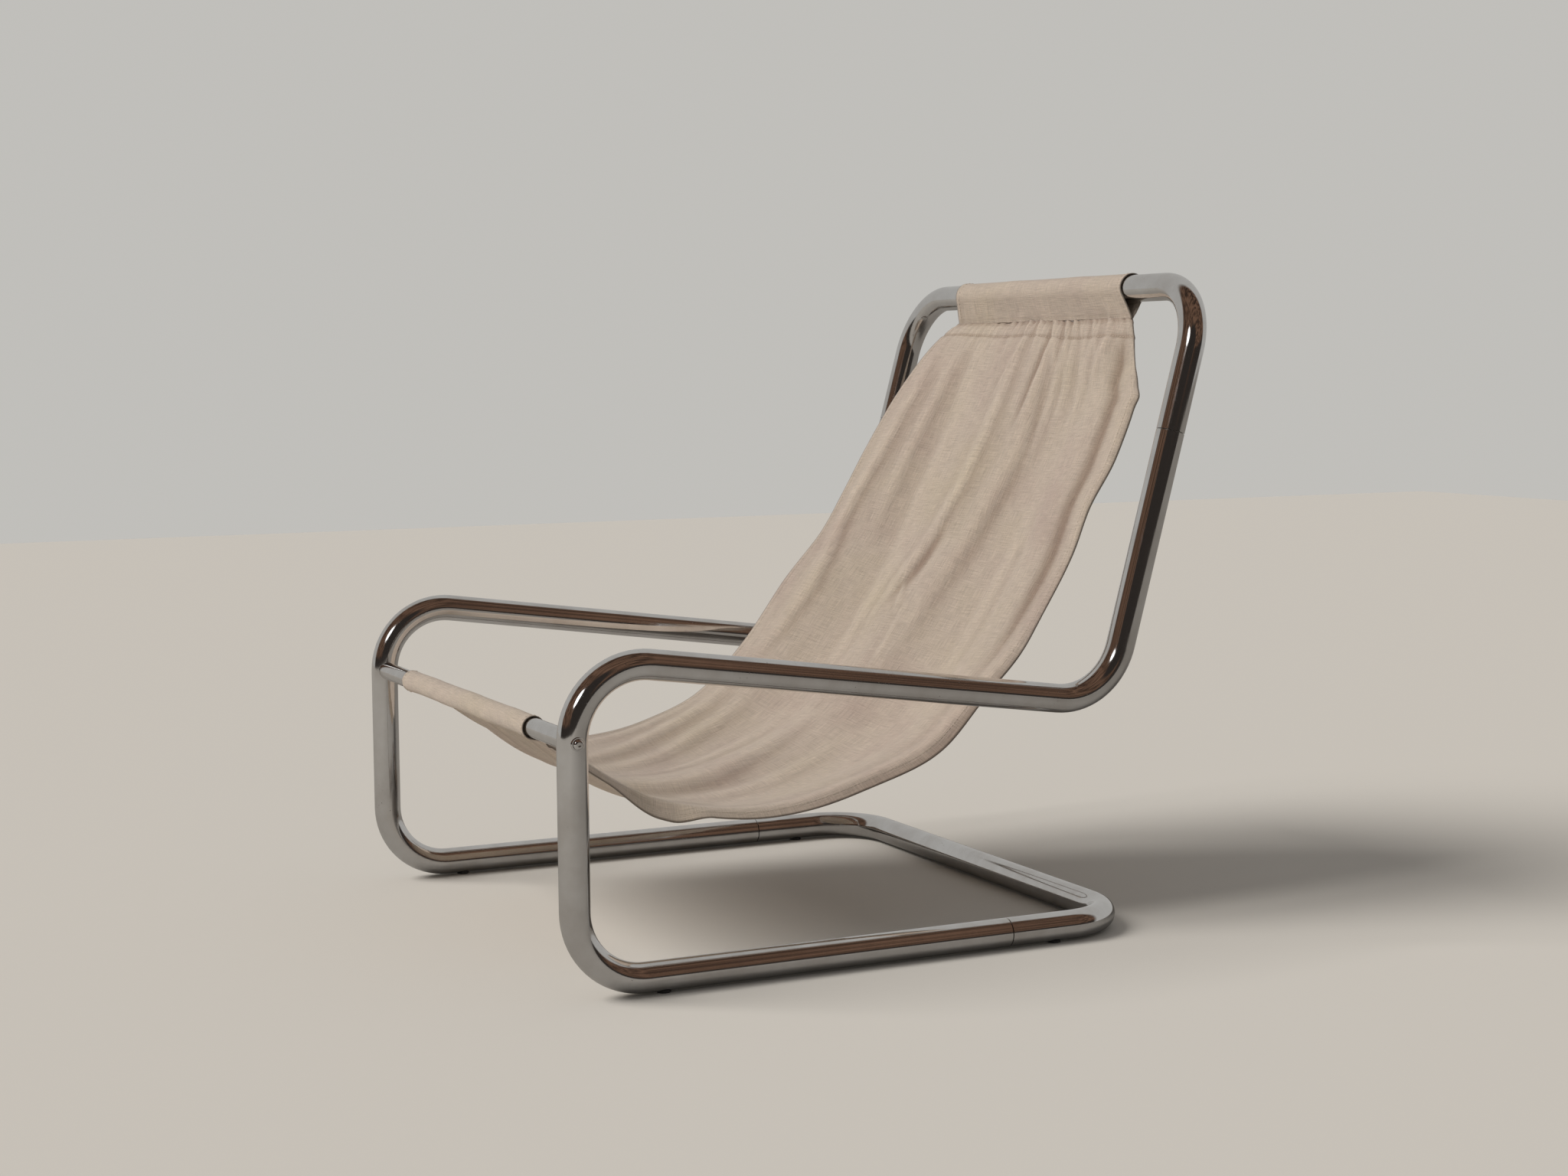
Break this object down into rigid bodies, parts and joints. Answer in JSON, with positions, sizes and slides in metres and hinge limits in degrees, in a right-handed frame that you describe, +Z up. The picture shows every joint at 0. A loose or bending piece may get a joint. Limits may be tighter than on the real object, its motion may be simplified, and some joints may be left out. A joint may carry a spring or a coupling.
{
  "type": "lounge chair",
  "caption": "Cantilever lounge chair with a bent chromed steel tube frame, tube arms and a loose natural canvas sling hung between the top tube and a thinner front rail.",
  "frame": {"origin": "middle of the footprint, on the floor", "axes": "+X to the sitter's left, the chair faces -Y, +Z up"},
  "size_m": [0.8336, 0.949, 0.8887],
  "materials": {
    "chrome_tube": "polished",
    "chrome_rail": "polished",
    "chrome_fixing": "polished",
    "bare_steel": "plain",
    "glide_plastic": "matt, translucent",
    "canvas": "natural woven cotton canvas"
  },
  "bodies": {
    "root": {"back_spigot_left": "bare_steel", "back_spigot_right": "bare_steel", "base_rear_tube": "chrome_tube", "base_spigot_left": "bare_steel", "base_spigot_right": "bare_steel", "cup_washer_left": "chrome_fixing", "cup_washer_right": "chrome_fixing", "front_glide_left": "glide_plastic", "front_glide_right": "glide_plastic", "front_rail": "chrome_rail", "front_sleeve": "canvas", "rail_plug_left": "bare_steel", "rail_plug_right": "bare_steel", "rail_screw_left": "chrome_fixing", "rail_screw_right": "chrome_fixing", "rear_glide_left": "glide_plastic", "rear_glide_right": "glide_plastic", "side_tube_left": "chrome_tube", "side_tube_right": "chrome_tube", "sling_panel": "canvas", "top_sleeve": "canvas", "top_tube": "chrome_tube"}
  },
  "joints": []
}
